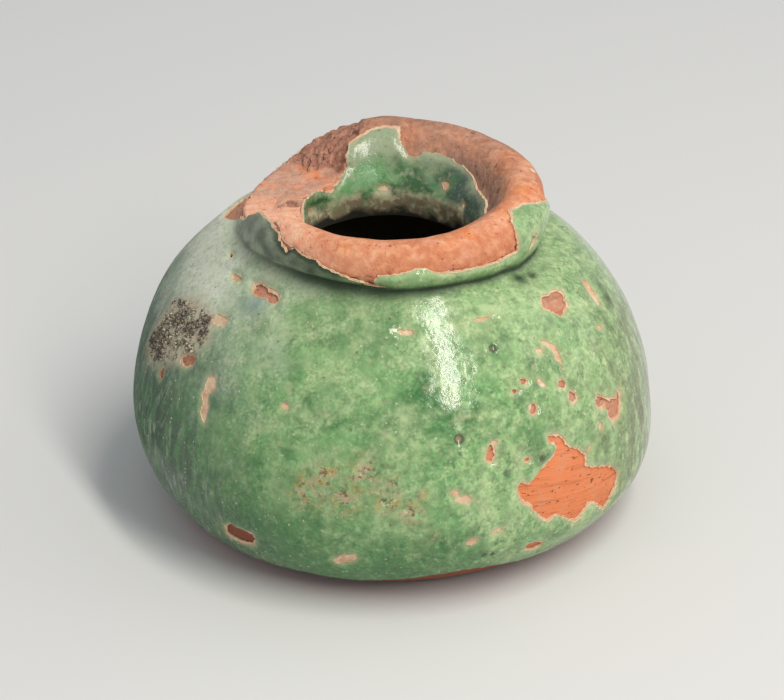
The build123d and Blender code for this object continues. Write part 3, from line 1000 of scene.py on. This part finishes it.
def brokenGlaze():  # the pale cut edge of a coat
    made = Finish("brokenGlaze", slipLook)
    made.colour = made.blended("white", "cream", made.mottle(made.place, 0.9, 0.4, 0.6))
    made.paint(glazeLook["straw"], made.mottle(made.place, 0.5, 0.5, 0.66))
    return made.done(0.6, made.grit(3.0, 0.03))


liningLook = {
    "pale": (0.37, 0.44, 0.27),
    "mid": (0.15, 0.36, 0.13),
    "deep": (0.05, 0.14, 0.05),
    "teal": (0.05, 0.085, 0.075),
    "mud": (0.22, 0.175, 0.10),
    "cream": (0.55, 0.48, 0.31),
    "dark": (0.012, 0.010, 0.005),
    "hollow": (0.12, 0.10, 0.055),
}


def liningGlaze():
    made = Finish("liningGlaze", liningLook)
    place = made.place
    x, _, z = made.axes()
    second = made.moved(place, shift=(25, 0, 0))
    cloud = made.cloud(place, 0.28, detail=6.0)
    grain = made.cloud(second, 1.4, 0.72)
    level = made.summed(z, (cloud, 8.0))
    depth = made.summed(z, (cloud, 4.0))
    made.colour = made.blended("mid", "deep", made.mottle(place, 0.22, 0.42, 0.58))
    made.paint("pale", made.mottle(second, 0.4, 0.50, 0.66), 0.7)
    # the right side is painted dark teal as painted shade
    made.paint("teal", made.ramped(made.summed(x, (cloud, 8.0)), 8.5, 14.0), 0.85)
    made.paint("pale", made.ramped(level, 47.5, 51.0), 0.9)
    made.paint("cream", made.ramped(grain, 0.50, 0.72), 0.5)
    made.paint("deep", made.ramped(grain, 0.47, 0.30), 0.7)
    # dirt towards the throat, and below it the hollow, painted dark as painted shade
    made.paint("cream", made.ramped(depth, 44.0, 42.4), made.mottle(place, 0.6, 0.34, 0.56), 0.9)
    made.paint("mud", made.ramped(depth, 43.2, 42.0), made.mottle(second, 0.9, 0.36, 0.54))
    made.paint("dark", made.ramped(depth, 41.6, 40.4))
    made.paint("hollow", made.ramped(z, 37.0, 36.0))
    made.paint("cream", made.attribute("edge"), 0.4)
    return made.done(made.ramped(level, 43.0, 48.0, 0.85, 0.2), made.grit(1.0, 0.05))


soilLook = {"dark": (0.095, 0.08, 0.063), "brown": (0.34, 0.285, 0.205), "sand": (0.68, 0.61, 0.45)}


def darkSoil():
    made = Finish("darkSoil", soilLook)
    tone = made.attribute("tone")
    made.colour = made.blended("dark", "brown", made.ramped(tone, 0.15, 0.55))
    made.paint("sand", made.ramped(tone, 0.6, 1.0))
    made.paint("brown", made.mottle(made.place, 2.5, 0.5, 0.8), 0.6)
    return made.done(0.92, made.grit(4.0, 0.05))


materials = {
    "glaze": greenGlaze(),
    "clay": redClay(),
    "coil": rimClay(),
    "slip": paleSlip(),
    "broken": brokenGlaze(),
    "lining": liningGlaze(),
    "soil": darkSoil(),
}
print("materials made")

# Clay body: turned outside and inside, seen at the flakes and the foot
body = {
    "steps": 240,
    "step": 1.0,
    "baseRings": 10,
    "seatRing": 2,
    "shown": 1.0,  # how far past a flake's edge the surface is worked
    "lines": 0.06,  # depth of the turning lines
    "lineHeight": 0.35,
    "lineSlope": 0.25,
    "lineSpread": 0.05,
    "pits": 0.12,
    "pitSize": 0.9,
    "pitSpan": (0.35, 0.7),
}


def makeBody():
    outside = arcPoints(haunchCentre, bellyHeight, haunchRadius, -haunchTurn, 0, body["step"])
    outside += arcPoints(shoulderCentre, bellyHeight, shoulderRadius, 0, shoulderTurn, body["step"])[1:]
    inside = [p for p in insideSection(0, 2 * body["step"]) if p[1] < jar["throatLow"] + 0.1]
    base = [(jar["base"] * i / body["baseRings"], 0.0) for i in range(body["baseRings"])]
    seat = [(jar["seat"] - body["seatRing"], jar["seatHeight"]), (jar["throat"], jar["seatHeight"])]
    bm = spun(base + outside + seat + inside[::-1], body["steps"])
    placed = placedFlakes(("toClay", "clayOutlines"))

    def shownGap(point):  # only the flaked places need fine faces
        radius = math.hypot(point.x, point.y)
        centre, reach = wallArc(point.z < bellyHeight)
        if math.hypot(radius - centre, point.z - bellyHeight) < reach - 1:
            return farGap
        return max(0.0, flakeGap(azimuthOf(point), alongOf(radius, point.z), placed))

    layer = bm.verts.layers.float.new("edge")
    measured(bm, layer, shownGap, farGap)
    refined(bm, layer, shownGap, 2)
    bm.normal_update()
    for vert in bm.verts:
        point = vert.co.copy()
        depth = 0.0
        if vert[layer] < body["shown"]:
            level = (point.z + body["lineSlope"] * point.x) / body["lineHeight"]
            lines = Vector((point.x * body["lineSpread"], point.y * body["lineSpread"], level))
            depth = body["lines"] * (0.5 + 0.5 * noise.noise(lines))
            depth += body["pits"] * smoothStep(*body["pitSpan"], grainNoise(point, body["pitSize"], 2))
        vert.co = handThrown(point - vert.normal * depth)
    finishPiece(bm, "thrownBody", "thrown_body", ["clay"])


# Rim coil: a fat roll with a broken stretch at the left of the back
coil = {
    "steps": 300,
    "step": 0.45,
    "heart": (15.6, 42.4),  # the middle of the section's foot, towards which the break eats in
    "scarInner": [  # azimuth and height of the break at the throat
        (98, 52), (104, 50), (108, 49.0), (112, 47.8), (114, 47.0), (117, 45.6), (119, 44.9), (123, 44.2),
        (128, 43.7), (140, 43.5), (150, 43.5), (160, 43.9), (168, 44.5), (180, 44.9), (188, 45.9),
        (197, 47.5), (206, 49.2), (218, 52),
    ],
    "scarOuter": [  # the same near the outside of the rim
        (90, 52), (95, 49.6), (100, 48.6), (106, 47.9), (114, 47.1), (120, 46.2), (126, 45.3), (134, 44.4),
        (143, 43.8), (153, 43.5), (165, 43.3), (174, 43.8), (182, 44.8), (192, 46.0), (200, 47.2),
        (210, 49.0), (220, 52),
    ],
    "scarSpan": (12.5, 20.0),  # the radii of the two
    "scarFloor": 43.8,
    "scarTop": 50.5,  # a break above this height touches nothing
    "scarFade": (178, 155),  # azimuths between which the dusty parting face sets in
    "seatGap": 0.2,  # marks keep this far above the seat
    "seatStep": 1.2,
    "crumblyTo": 176,  # azimuth where the crumbly part of the break ends
    "crumblySpan": (0.2, 1.0),
    "smooth": 0.12,  # share of the roughness that the smooth part has
    "wander": 0.5,  # how far edges and cracks wander
    "edgeWander": 1.6,
    "crackWander": 1.8,
    "shear": (1.2, 1.0, 0.9, 0.8),  # stretch across and along, slope, and scale of the rough lumps
    "rough": 0.55,
    "roughSize": 1.3,
    "fineRough": 0.25,
    "fineRoughSize": 0.5,
    "dents": 0.24,
    "dentSize": 2.6,
    "pits": 0.4,
    "pitSize": 0.85,
    "pitSpan": (0.38, 0.65),
    "crack": (81, 15.2, 19.5, 0.13, 0.22),  # azimuth, inner and outer radius, half width, depth
    "lime": (13, 20.0, 48.5, 0.7),  # azimuth, radius, height and size of a pale chip
    "strip": [  # azimuth and width of the sunken strip along the glaze's edge
        (-160, 0.05), (-153, 0.8), (-146, 0.7), (-141, 0.15), (-139, 0.25), (-135, 0.8), (-133.5, 0.7),
        (-131, 0.12), (-124, 0.05),
    ],
    "stripDepth": 0.15,
    "stripSpan": (0.4, 0.6),
}


def scarLimit(azimuth, radius):  # height of the break
    turn = azimuth % 360
    inner, outer = (
        aroundAt(points, turn, False) if points[0][0] < turn < points[-1][0] else 99.0
        for points in (coil["scarInner"], coil["scarOuter"])
    )
    low, high = coil["scarSpan"]
    share = min(1.0, max(0.0, (radius - low) / (high - low)))
    return inner + (outer - inner) * share


def brokenTo(radius, height, azimuth, roughness):  # the section's point, moved in to the break's face
    heartRadius, heartHeight = coil["heart"]
    limit = scarLimit(azimuth, radius) + roughness
    if height <= limit:
        return radius, height, 0.0
    share = max(0.05, (limit - heartHeight) / (height - heartHeight))
    return heartRadius + (radius - heartRadius) * share, heartHeight + (height - heartHeight) * share, 1.0


def makeCoil():
    seatHeight = jar["seatHeight"]
    lip = lipPoints(0, coil["step"])
    seatTurn = math.asin((seatHeight - rollHeight) / jar["roll"])
    roll = rollPoints(0, math.radians(jar["insideTo"]), seatTurn, coil["step"])
    seat = [(jar["coilFoot"] - coil["seatStep"] * i, seatHeight) for i in range(1, 6)]
    bm = spun([(jar["throat"], seatHeight)] + lip + roll[1:] + seat, coil["steps"], True)

    def inScar(face):
        centre = face.calc_center_median()
        limit = scarLimit(azimuthOf(centre), centre.xy.length)
        return limit < coil["scarTop"] and centre.z > seatHeight + 0.1

    split(bm, [edge for edge in bm.edges if any(inScar(face) for face in edge.link_faces)])
    bm.normal_update()
    # the strip is 1 at the glaze's edge and a half at its far side
    roughLayer, scarLayer, crackLayer, limeLayer, stripLayer = newLayers(
        bm, "rough", "scar", "crack", "lime", "strip"
    )
    crackTurn, crackFrom, crackTo, crackHalf, crackDepth = coil["crack"]
    *limePlace, limeSize = coil["lime"]
    limeAt = pointAt(*limePlace)
    shearAcross, shearAlong, shearSlope, shearScale = coil["shear"]
    for vert in bm.verts:
        point = vert.co.copy()
        azimuth = azimuthOf(point)
        turn = azimuth % 360
        radius = math.hypot(point.x, point.y)
        sheared = Vector((shearAcross * point.x, shearAlong * point.y, point.z + shearSlope * point.x))
        bumps = coil["rough"] * grainNoise(sheared * shearScale, coil["roughSize"], 1)
        bumps += coil["fineRough"] * grainNoise(point, coil["fineRoughSize"], 4)
        steep = scarLimit(azimuth, radius) - coil["scarFloor"]
        steep += coil["wander"] * grainNoise(point, coil["edgeWander"], 15)
        crumbly = smoothStep(*coil["crumblySpan"], steep) if turn < coil["crumblyTo"] else 0.0
        roughness = bumps * (coil["smooth"] + crumbly)
        newRadius, newHeight, broken = brokenTo(radius, point.z, azimuth, roughness)
        vert[roughLayer] = broken * crumbly
        vert[scarLayer] = broken * smoothStep(*coil["scarFade"], turn)
        point = Vector((point.x * newRadius / radius, point.y * newRadius / radius, newHeight))
        if newHeight > seatHeight + coil["seatGap"]:
            depth = coil["dents"] * (0.5 + 0.5 * grainNoise(point, coil["dentSize"], 6))
            depth += coil["pits"] * smoothStep(*coil["pitSpan"], grainNoise(point, coil["pitSize"], 9))
            if crackFrom < radius < crackTo:
                aside = math.radians(wrapped(azimuth - crackTurn)) * radius
                aside += coil["wander"] * grainNoise(point, coil["crackWander"], 17)
                vert[crackLayer] = math.exp(-((aside / crackHalf) ** 2))
            vert[limeLayer] = smoothStep(limeSize, 0.5 * limeSize, (point - limeAt).length)
            if coil["strip"][0][0] < azimuth < coil["strip"][-1][0]:
                gap = -lineGap(azimuth * rimPerDegree, alongOf(radius, point.z), rimLine, farGap)
                width = aroundAt(coil["strip"], azimuth, False)
                vert[stripLayer] = min(1.0, max(0.0, 1 - gap / (2 * width)))
            depth += coil["stripDepth"] * smoothStep(*coil["stripSpan"], vert[stripLayer])
            point -= vert.normal * (depth + crackDepth * vert[crackLayer])
        vert.co = handThrown(point)
    finishPiece(bm, "rimCoil", "rim_coil", ["coil"], 60)


# Outer coats
coats = {
    "glazeSteps": 300,
    "glazeStep": 0.8,
    "slipSteps": 200,
    "slipStep": 1.2,
    "lowest": 1.8,
    "pool": 0.45,
    "slipMargin": 0.14,
    "slipMarginMore": 0.32,
    "slipMarginSize": 1.6,
    "lumps": 0.06,
    "lumpSize": 4.5,
    "ripples": 0.03,
    "rippleSize": 1.4,
    "edgeBand": 0.9,
    "edgeThin": 0.26,  # how much the glaze thins towards a broken edge
    "edgeThinBand": 0.9,
    # darkness and width of the band of pooled glaze along the groove, wider on the left front as painted
    # shade below the rim
    "poolAndShadeShare": [(-178, 0.4), (-160, 0.6), (-140, 0.8), (-120, 0.95), (-60, 0.95), (0, 0.95), (120, 0.9)],
    "poolAndShadeBand": [
        (-178, 1.2), (-165, 1.8), (-140, 2.4), (-118, 2.8), (-104, 2.6), (-88, 1.4), (-60, 1.0), (0, 0.9),
        (120, 1.1),
    ],
    "poolReach": 3,  # how far up from the groove it is looked for
    "poolRise": 0.2,
    "pools": [  # azimuth, height, spread, share
        (-36.5, 41.3, 1.4, 1.0), (-30, 41.0, 1.0, 1.0), (-52.6, 33.2, 0.9, 0.5), (-58.4, 29.9, 0.8, 0.5),
        (-53.1, 30.8, 0.8, 0.4), (-10.8, 33.2, 1.5, 0.7), (-9.3, 34.6, 1.1, 0.6), (-64.9, 24.5, 0.5, 0.4),
        (-30.1, 30.9, 0.7, 0.35), (-26, 28, 0.8, 0.4), (124, 30, 1.4, 0.5), (66, 33, 1.0, 0.4),
    ],
    "coilSideShade": [  # azimuth and how dark the glaze on the rim's side is painted, as painted shade
        (-178, 0.4), (-165, 0.7), (-150, 0.78), (-130, 0.86), (-112, 0.88), (-102, 0.7), (-94, 0), (60, 0),
        (165, 0.1),
    ],
    "coilSideShadeSize": 2.4,
    "coilSideShadePatches": (0.85, 0.4),
    "coilSideShadeFade": 0.5,
    # the same just below its bare edge, partly pooled glaze and partly painted shadow, and how far that
    # reaches
    "leePoolAndShadow": [(-165, 0), (-152, 0.8), (-135, 0.96), (-112, 0.96), (-102, 0.5), (-96, 0)],
    "leePoolAndShadowSpan": (2.0, 0.3),
    "stainSpan": (-0.8, 2.2),  # how far the soil's stain reaches past its patch
    "pitDepth": 0.3,  # of the darkest
    "pitReach": 1.6,  # finer faces this near
    "pitRing": (0.35, 1.15, 0.3),  # height against the depth, place and width against the radius
    "pitFloor": (1.0, 0.4),
    "pitDark": (1.2, 0.3),
    "pits": [  # azimuth, height, radius, depth
        (-75, 26.7, 0.95, 0.3),
        (-65, 21, 0.8, 0.16),
        (-56, 21.6, 0.6, 0.22),
        (-70, 8.6, 0.6, 0.25),
        (-68, 8.4, 0.5, 0.25),
        (-61.5, 36, 0.8, 0.26),
        (-69, 34.3, 0.5, 0.13),
        (30, 33, 0.8, 0.25),
        (95, 27, 0.9, 0.3),
        (147, 26, 0.7, 0.25),
    ],
    "scabs": [  # azimuth, height, spread
        (-108, 19.6, 2.2), (-104, 22, 1.8), (-96, 22.6, 2.2), (-91, 19, 1.8), (-100, 19, 2.0),
        (-86, 17.4, 1.6), (-81.3, 13.3, 0.6), (-83.1, 19.8, 0.7), (-87.2, 17.8, 0.9), (-46.4, 6.7, 0.5),
        (-89.5, 21.6, 0.8), (75, 17, 3.0), (82, 20, 2.0),
    ],
}

# Soil crust: loose grains in a patch on the left shoulder
crust = {
    "seed": 41,
    "azimuth": -157,
    "height": 32,
    "outline": [
        (-6.0, -6.2), (-5.4, -1.5), (-5.1, 2.3), (-0.3, 4.9), (5.1, 4.4), (7.0, 1.7), (5.2, -1.6),
        (0.5, -5.1), (-3.9, -7.5),
    ],
    "heaps": [  # across, up, spread
        (-3.5, -4.1, 2.0), (-1.3, -4.7, 1.3), (-5.5, -4.4, 1.4), (4.6, 3.6, 1.5), (5.6, 2.3, 1.3),
        (-0.9, 1.6, 1.6), (-3.6, 3.0, 0.9), (2.6, 1.4, 1.2),
    ],
    "tries": 16000,
    "clump": 1.3,
    "least": 0.06,
    "most": 0.28,
    "loose": 0.12,  # grains under this size lie between the heaps too
    "looser": 0.3,
    "bare": 0.14,  # how bare it is between the heaps, how much more near the outline, and how full a heap is
    "bareEdge": 0.3,
    "edgeSpan": (-2.0, 0.0),
    "heaped": 0.45,
    "ragged": 0.4,
    "raised": 0.3,  # how far a grain stands out of the glaze
    "tones": (1.15, 0.65),  # brightest between the heaps, and how much darker in them
    "squeeze": ((0.7, 1.3), (0.7, 1.3), (0.6, 1.1)),
    "uneven": (0.8, 1.2),
}


def crustPlace(azimuth, along):
    across = math.radians(wrapped(azimuth - crust["azimuth"])) * radiusAtHeight(crust["height"])
    return across, along - alongAtHeight(crust["height"])


def slipMargin(point):
    share = 0.5 + 0.5 * grainNoise(point, coats["slipMarginSize"], 11)
    return coats["slipMargin"] + coats["slipMarginMore"] * share


def noMargin(point):
    return 0.0


def coatSheet(grow, steps, step, levels, kinds, marginAt):
    bm = spun(outsideSection(grow, step, coats["lowest"], coats["pool"]), steps)
    placed = placedFlakes(kinds)

    def gapAt(point):
        return coatGap(point, placed, marginAt(point))

    return bm, cutSheet(bm, gapAt, levels)


def markPlaces(places):
    return [(place[0], alongAtHeight(place[1]), radiusAtHeight(place[1]), *place[2:]) for place in places]


def placeGap(azimuth, along, place):
    u = math.radians(wrapped(azimuth - place[0])) * place[2]
    return math.hypot(u, along - place[1])


def makeGlaze():
    kinds = ("toClay", "toSlip", "clayOutlines", "slipOutlines")
    bm, edge = coatSheet(jar["coat"], coats["glazeSteps"], coats["glazeStep"], 2, kinds, noMargin)
    pool, pit, scab, stain = newLayers(bm, "pool", "pit", "scab", "stain")
    pits, scabs, pools = (markPlaces(coats[kind]) for kind in ("pits", "scabs", "pools"))

    def nearPit(point):
        azimuth, along = azimuthOf(point), alongOf(point.xy.length, point.z)
        return any(placeGap(azimuth, along, place) < coats["pitReach"] for place in pits)

    split(bm, [side for side in bm.edges if nearPit((side.verts[0].co + side.verts[1].co) / 2)])
    bm.normal_update()
    ringHeight, ringPlace, ringWidth = coats["pitRing"]
    coilShadeMiddle, coilShadeChange = coats["coilSideShadePatches"]
    coilShadeSpan = grooveAlong - coats["coilSideShadeFade"], grooveAlong + coats["coilSideShadeFade"]
    for vert in bm.verts:
        point = vert.co.copy()
        azimuth = azimuthOf(point)
        along = alongOf(point.xy.length, point.z)
        rise = coats["lumps"] * grainNoise(point, coats["lumpSize"], 8)
        rise += coats["ripples"] * grainNoise(point, coats["rippleSize"], 12)
        for place in pits:
            gap = placeGap(azimuth, along, place) / place[3]
            if gap < 2:
                ring = ringHeight * math.exp(-((gap - ringPlace) / ringWidth) ** 2)
                rise += place[4] * (ring - smoothStep(*coats["pitFloor"], gap))
                dark = min(1.0, place[4] / coats["pitDepth"])
                vert[pit] = max(vert[pit], dark * smoothStep(*coats["pitDark"], gap))
        for place in scabs:
            gap = placeGap(azimuth, along, place) / place[3]
            vert[scab] = max(vert[scab], math.exp(-gap * gap))
        # pooled glaze along the groove, wider on the left front as painted shade below the rim
        if along < grooveAlong + coats["poolReach"]:
            gap = (along - grooveAlong - coats["poolRise"]) / aroundAt(coats["poolAndShadeBand"], azimuth)
            vert[pool] = aroundAt(coats["poolAndShadeShare"], azimuth) * math.exp(-gap * gap)
        for place in pools:
            gap = placeGap(azimuth, along, place) / place[3]
            vert[pool] = max(vert[pool], place[4] * math.exp(-gap * gap))
        # painted shade on the rim's left side; below its bare edge, pooled glaze and painted shadow
        if along > coilShadeSpan[0]:
            patchy = coilShadeMiddle + coilShadeChange * grainNoise(point, coats["coilSideShadeSize"], 19)
            coilSideShade = aroundAt(coats["coilSideShade"], azimuth) * min(1.0, patchy)
            leePoolAndShadow = aroundAt(coats["leePoolAndShadow"], azimuth) * smoothStep(*coats["leePoolAndShadowSpan"], vert[edge])
            vert[pool] = max(vert[pool], leePoolAndShadow, coilSideShade * smoothStep(*coilShadeSpan, along))
        rise -= coats["edgeThin"] * (1 - smoothStep(0.0, coats["edgeThinBand"], vert[edge]))
        vert[edge] = 1 - smoothStep(0.0, coats["edgeBand"], vert[edge])
        outside = outlineGap(*crustPlace(azimuth, along), crust["outline"])
        vert[stain] = 1 - smoothStep(*coats["stainSpan"], outside)
        vert.co = handThrown(point + vert.normal * rise)
    thickened(bm, jar["coat"] - jar["slip"], 1)
    finishPiece(bm, "outerGlaze", "outer_glaze", ["glaze", "broken"])


def makeSlip():
    kinds = ("toClay", "clayOutlines")
    bm, _ = coatSheet(jar["slip"], coats["slipSteps"], coats["slipStep"], 3, kinds, slipMargin)
    for vert in bm.verts:
        vert.co = handThrown(vert.co.copy())
    thickened(bm, jar["slip"], 0)
    finishPiece(bm, "outerSlip", "outer_slip", ["slip"])


# Linings: the same two coats on the inside, ending at a ragged edge inside the rim
lining = {
    "steps": 200,
    "step": 1.2,
    "edge": [  # azimuth and height
        (-175, 44.6), (-160, 44.0), (-130, 43.5), (-100, 44.0), (-70, 43.6), (-40, 44.2), (-15, 44.0),
        (0, 43.9), (9.5, 44.2), (26.5, 44.3), (38, 45.7), (50, 46.2), (64.5, 46.7), (72, 46.5), (73, 45.9),
        (80.5, 45.7), (83, 46.5), (85.5, 47.3), (86, 48.9), (100.5, 48.9), (104, 48.6), (113, 47.8),
        (117, 46.5), (117.5, 45.0), (127.5, 43.4), (133, 42.4), (144.5, 43.4), (159.5, 43.7), (168, 44.7),
    ],
    "flecks": [(96.5, 41.8, 1.5, 0.6), (52, 43.1, 1.0, 0.9), (30, 42.0, 0.7, 0.5), (150, 41.0, 0.8, 0.5)],
    "lipFrom": 38,  # the edge is looked for above this height
    "margin": 0.2,  # share of the slip's margin
    "lumps": 0.08,
    "lumpSize": 2.6,
    "lumpsFrom": 36,
    "edgeThin": 0.8,
    "round": jar["throat"] + 2,  # radius at which distances round are taken
}
lipPerDegree = math.radians(1) * lining["round"]


def lipAlong(radius, height):  # distance up from the throat over the inside of the rim
    turn = math.atan2((height - lipHeight) / lipRise, max(crestRadius - radius, 1e-3) / lipDepth)
    return lipRise * turn if height > lipHeight else height - lipHeight


def lipAtHeight(height):
    if height < lipHeight:
        return height - lipHeight
    return lipRise * math.asin(min(1.0, (height - lipHeight) / lipRise))


def liningSheet(grow, marginAt, flecks):
    line = edgeLine(lining["edge"], lipPerDegree, lipAtHeight)
    bm = spun(insideSection(grow, lining["step"]), lining["steps"])
    if min(bm.faces, key=lambda face: face.calc_center_median().z).normal.z < 0:
        bmesh.ops.reverse_faces(bm, faces=bm.faces[:])

    def gapAt(point):
        if point.z < lining["lipFrom"]:
            return farGap
        azimuth, along = azimuthOf(point), lipAlong(point.xy.length, point.z)
        gap = lineGap(azimuth * lipPerDegree, along, line, farGap)
        for place, height, width, length in flecks:
            u = math.radians(wrapped(azimuth - place)) * jar["throat"]
            v = along - lipAtHeight(height)
            if abs(u) + abs(v) < farGap:
                gap = min(gap, ellipseGap(u, v, width, length, 0))
        return gap + raggedness(point) + lining["margin"] * marginAt(point)

    layer = cutSheet(bm, gapAt, 2)
    thin = (grow - jar["slip"]) * lining["edgeThin"]
    for vert in bm.verts:
        point = vert.co.copy()
        rise = -thin * (1 - smoothStep(0.0, coats["edgeThinBand"], vert[layer]))
        if point.z > lining["lumpsFrom"]:
            rise += lining["lumps"] * grainNoise(point, lining["lumpSize"], 14)
        vert[layer] = 1 - smoothStep(0.0, coats["edgeBand"], vert[layer])
        vert.co = handThrown(point + vert.normal * rise)
    return bm


def makeLinings():
    glaze = liningSheet(jar["coat"], noMargin, lining["flecks"])
    thickened(glaze, jar["coat"] - jar["slip"], 1)
    finishPiece(glaze, "innerGlaze", "inner_glaze", ["lining", "broken"])
    slip = liningSheet(jar["slip"], slipMargin, [])
    thickened(slip, jar["slip"], 0)
    finishPiece(slip, "innerSlip", "inner_slip", ["slip"])


def makeCrust():
    draw = random.Random(crust["seed"])
    bm = bmesh.new()
    tone = bm.verts.layers.float.new("tone")
    up = alongAtHeight(crust["height"])
    radius = radiusAtHeight(crust["height"])
    reach = max(math.hypot(u, v) for u, v in crust["outline"])
    brightest, darker = crust["tones"]
    grains = 0
    for _ in range(crust["tries"]):
        u, v = draw.uniform(-reach, reach), draw.uniform(-reach, reach)
        size = crust["least"] * (crust["most"] / crust["least"]) ** draw.random()
        shade = draw.random()
        gap = outlineGap(u, v, crust["outline"])
        clump = noise.noise(Vector((u, v, 0)) / crust["clump"] + Vector((crust["seed"], 0, 0)))
        heap = max(math.exp(-((u - a) ** 2 + (v - b) ** 2) / spread**2) for a, b, spread in crust["heaps"])
        sparse = crust["bare"] + crust["bareEdge"] * smoothStep(*crust["edgeSpan"], gap)
        sparse = (1 - heap) * sparse - crust["heaped"] * heap
        if size < crust["loose"]:
            sparse -= crust["looser"]
        if gap > crust["ragged"] * clump or clump < sparse:
            continue
        azimuth = crust["azimuth"] + math.degrees(u / radius)
        centre = handThrown(outsideAt(azimuth, up + v, jar["coat"] + crust["raised"] * size))
        made = bmesh.ops.create_icosphere(bm, subdivisions=1, radius=size)["verts"]
        squeeze = Vector([draw.uniform(*span) for span in crust["squeeze"]])
        for vert in made:
            sides = (a * b * draw.uniform(*crust["uneven"]) for a, b in zip(vert.co, squeeze))
            vert.co = Vector(sides) + centre
            vert[tone] = shade * (brightest - darker * heap)
        grains += 1
    print("soil grains", grains)
    finishPiece(bm, "soilCrust", "soil_crust", ["soil"])


makeBody()
makeCoil()
makeSlip()
makeGlaze()
makeLinings()
makeCrust()

# Stage: pale floor, soft light, and the camera where the photograph was taken from
stage = {
    "floorSize": 4.0,
    "floorColour": (0.78, 0.77, 0.75),
    "floorRoughness": 0.9,
    "worldColour": (0.9, 0.95, 1.0),
    "worldStrength": 0.45,
    "aim": Vector((0, 0, 0.0215)),
    "eyeHeight": 29.4,  # degrees above the horizon
    "eyeDistance": 0.449,
    "lens": 141.9,
    "sensor": 36.0,
    "nearest": 0.01,
}
lamps = {  # direction from the jar, distance, direction of its long side, width, length, watts, colour
    "strip": (
        Vector((0.36, -0.42, 0.83)), 0.6, Vector((-0.21, 0.75, 0.52)), 0.07, 0.6, 2.6, (1.0, 0.96, 0.90)
    ),
    "right": (Vector((0.85, 0.15, 0.5)), 1.0, Vector((0, 0, 1)), 0.8, 0.8, 1.2, (1.0, 0.97, 0.93)),
}


def makeStage():
    bm = bmesh.new()
    bmesh.ops.create_grid(bm, x_segments=1, y_segments=1, size=stage["floorSize"] / 2)
    mesh = meshOf(bm, "floor")
    material = bpy.data.materials.new("paleFloor")
    material.use_nodes = True
    shader = material.node_tree.nodes["Principled BSDF"]
    shader.inputs["Base Color"].default_value = rgb(stage["floorColour"])
    shader.inputs["Roughness"].default_value = stage["floorRoughness"]
    mesh.materials.append(material)
    linked("floor", mesh)
    world = bpy.data.worlds.new("studio")
    world.use_nodes = True
    light = world.node_tree.nodes["Background"]
    light.inputs["Color"].default_value = rgb(stage["worldColour"])
    light.inputs["Strength"].default_value = stage["worldStrength"]
    bpy.context.scene.world = world


def makeLamp(name, direction, distance, along, width, length, watts, colour):
    lamp = bpy.data.lights.new(name, "AREA")
    lamp.shape = "RECTANGLE"
    lamp.size, lamp.size_y = width, length
    lamp.energy = watts
    lamp.color = colour
    holder = linked(name, lamp)
    outwards = direction.normalized()
    across = along.cross(outwards).normalized()
    axes = Matrix((across, outwards.cross(across), outwards)).transposed()
    holder.location = stage["aim"] + outwards * distance
    holder.rotation_euler = axes.to_euler()


def makeCamera():
    camera = bpy.data.cameras.new("camera")
    camera.lens = stage["lens"]
    camera.sensor_width = stage["sensor"]
    camera.clip_start = stage["nearest"]
    holder = linked("camera", camera)
    tilt = math.radians(stage["eyeHeight"])
    back = Vector((0, -math.cos(tilt), math.sin(tilt)))
    holder.location = stage["aim"] + back * stage["eyeDistance"]
    holder.rotation_euler = (-back).to_track_quat("-Z", "Y").to_euler()
    bpy.context.scene.camera = holder


makeStage()
for lampName, lampValues in lamps.items():
    makeLamp(lampName, *lampValues)
makeCamera()
bpy.context.scene.view_settings.view_transform = "Standard"
print("stage made")
